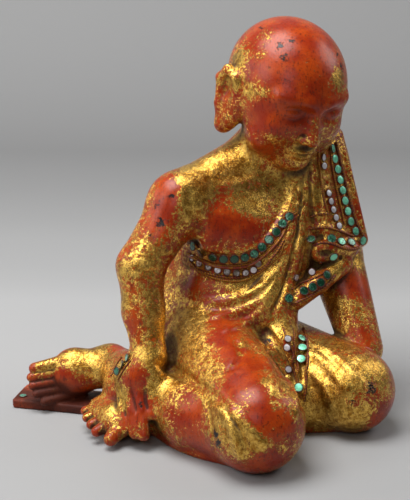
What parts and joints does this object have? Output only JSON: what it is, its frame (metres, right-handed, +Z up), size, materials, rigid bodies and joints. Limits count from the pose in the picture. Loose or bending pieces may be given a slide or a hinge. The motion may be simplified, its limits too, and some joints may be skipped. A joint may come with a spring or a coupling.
{
  "type": "wooden figure",
  "caption": "Carved wooden figure of a kneeling monk leaning on one straight arm, red lacquer under worn gold leaf, robe hems set with round green and clear glass.",
  "frame": {"origin": "on the flat underside, near the middle of the base below the pelvis", "axes": "+Z up, -Y the way the knees and the face point, +X to the figure's left"},
  "size_m": [0.1961, 0.1821, 0.225],
  "materials": {
    "carved_figure": "red lacquer under worn gold leaf",
    "chest_hem_clear_01": "flat, foil-backed",
    "chest_hem_clear_02": "flat, foil-backed",
    "chest_hem_clear_03": "flat, foil-backed",
    "chest_hem_clear_04": "flat, foil-backed",
    "chest_hem_clear_05": "flat, foil-backed",
    "chest_hem_clear_06": "flat, foil-backed",
    "chest_hem_clear_07": "flat, foil-backed",
    "chest_hem_clear_08": "flat, foil-backed",
    "chest_hem_clear_09": "flat, foil-backed",
    "chest_hem_green_01": "flat, foil-backed",
    "chest_hem_green_02": "flat, foil-backed",
    "chest_hem_green_03": "flat, foil-backed",
    "chest_hem_green_04": "flat, foil-backed",
    "chest_hem_green_05": "flat, foil-backed",
    "chest_hem_green_06": "flat, foil-backed",
    "chest_hem_green_07": "flat, foil-backed",
    "chest_hem_green_08": "flat, foil-backed",
    "chest_hem_green_09": "flat, foil-backed",
    "chest_hem_green_10": "flat, foil-backed",
    "chest_hem_green_11": "flat, foil-backed",
    "chest_hem_green_12": "flat, foil-backed",
    "inner_fold_green_01": "flat, foil-backed",
    "lap_hem_clear_01": "flat, foil-backed",
    "lap_hem_clear_02": "flat, foil-backed",
    "lap_hem_end_clear_01": "flat, foil-backed",
    "lap_hem_end_green_01": "flat, foil-backed",
    "lap_hem_green_01": "flat, foil-backed",
    "lap_hem_green_02": "flat, foil-backed",
    "lap_hem_green_03": "flat, foil-backed",
    "lower_fold_clear_01": "flat, foil-backed",
    "lower_fold_end_clear_01": "flat, foil-backed",
    "lower_fold_end_green_01": "flat, foil-backed",
    "lower_fold_green_01": "flat, foil-backed",
    "lower_fold_green_02": "flat, foil-backed",
    "lower_fold_green_03": "flat, foil-backed",
    "lower_fold_green_04": "flat, foil-backed",
    "shoulder_clear_01": "flat, foil-backed",
    "shoulder_clear_02": "flat, foil-backed",
    "shoulder_clear_03": "flat, foil-backed",
    "shoulder_clear_04": "flat, foil-backed",
    "shoulder_clear_05": "flat, foil-backed",
    "shoulder_green_01": "flat, foil-backed",
    "shoulder_green_02": "flat, foil-backed",
    "shoulder_green_03": "flat, foil-backed",
    "shoulder_green_04": "flat, foil-backed",
    "shoulder_green_05": "flat, foil-backed",
    "shoulder_green_06": "flat, foil-backed",
    "shoulder_green_07": "flat, foil-backed",
    "shoulder_green_08": "flat, foil-backed",
    "shoulder_green_09": "flat, foil-backed",
    "shoulder_hem_green_01": "flat, foil-backed",
    "shoulder_hem_green_02": "flat, foil-backed",
    "shoulder_hem_green_03": "flat, foil-backed",
    "shoulder_hem_green_04": "flat, foil-backed",
    "shoulder_top_clear_01": "flat, foil-backed",
    "shoulder_top_clear_02": "flat, foil-backed",
    "turned_hem_green_01": "flat, foil-backed"
  },
  "bodies": {
    "root": {"carved_figure": "carved_figure", "chest_hem_clear_01": "chest_hem_clear_01", "chest_hem_clear_02": "chest_hem_clear_02", "chest_hem_clear_03": "chest_hem_clear_03", "chest_hem_clear_04": "chest_hem_clear_04", "chest_hem_clear_05": "chest_hem_clear_05", "chest_hem_clear_06": "chest_hem_clear_06", "chest_hem_clear_07": "chest_hem_clear_07", "chest_hem_clear_08": "chest_hem_clear_08", "chest_hem_clear_09": "chest_hem_clear_09", "chest_hem_green_01": "chest_hem_green_01", "chest_hem_green_02": "chest_hem_green_02", "chest_hem_green_03": "chest_hem_green_03", "chest_hem_green_04": "chest_hem_green_04", "chest_hem_green_05": "chest_hem_green_05", "chest_hem_green_06": "chest_hem_green_06", "chest_hem_green_07": "chest_hem_green_07", "chest_hem_green_08": "chest_hem_green_08", "chest_hem_green_09": "chest_hem_green_09", "chest_hem_green_10": "chest_hem_green_10", "chest_hem_green_11": "chest_hem_green_11", "chest_hem_green_12": "chest_hem_green_12", "inner_fold_green_01": "inner_fold_green_01", "lap_hem_clear_01": "lap_hem_clear_01", "lap_hem_clear_02": "lap_hem_clear_02", "lap_hem_end_clear_01": "lap_hem_end_clear_01", "lap_hem_end_green_01": "lap_hem_end_green_01", "lap_hem_green_01": "lap_hem_green_01", "lap_hem_green_02": "lap_hem_green_02", "lap_hem_green_03": "lap_hem_green_03", "lower_fold_clear_01": "lower_fold_clear_01", "lower_fold_end_clear_01": "lower_fold_end_clear_01", "lower_fold_end_green_01": "lower_fold_end_green_01", "lower_fold_green_01": "lower_fold_green_01", "lower_fold_green_02": "lower_fold_green_02", "lower_fold_green_03": "lower_fold_green_03", "lower_fold_green_04": "lower_fold_green_04", "shoulder_clear_01": "shoulder_clear_01", "shoulder_clear_02": "shoulder_clear_02", "shoulder_clear_03": "shoulder_clear_03", "shoulder_clear_04": "shoulder_clear_04", "shoulder_clear_05": "shoulder_clear_05", "shoulder_green_01": "shoulder_green_01", "shoulder_green_02": "shoulder_green_02", "shoulder_green_03": "shoulder_green_03", "shoulder_green_04": "shoulder_green_04", "shoulder_green_05": "shoulder_green_05", "shoulder_green_06": "shoulder_green_06", "shoulder_green_07": "shoulder_green_07", "shoulder_green_08": "shoulder_green_08", "shoulder_green_09": "shoulder_green_09", "shoulder_hem_green_01": "shoulder_hem_green_01", "shoulder_hem_green_02": "shoulder_hem_green_02", "shoulder_hem_green_03": "shoulder_hem_green_03", "shoulder_hem_green_04": "shoulder_hem_green_04", "shoulder_top_clear_01": "shoulder_top_clear_01", "shoulder_top_clear_02": "shoulder_top_clear_02", "turned_hem_green_01": "turned_hem_green_01"}
  },
  "joints": []
}
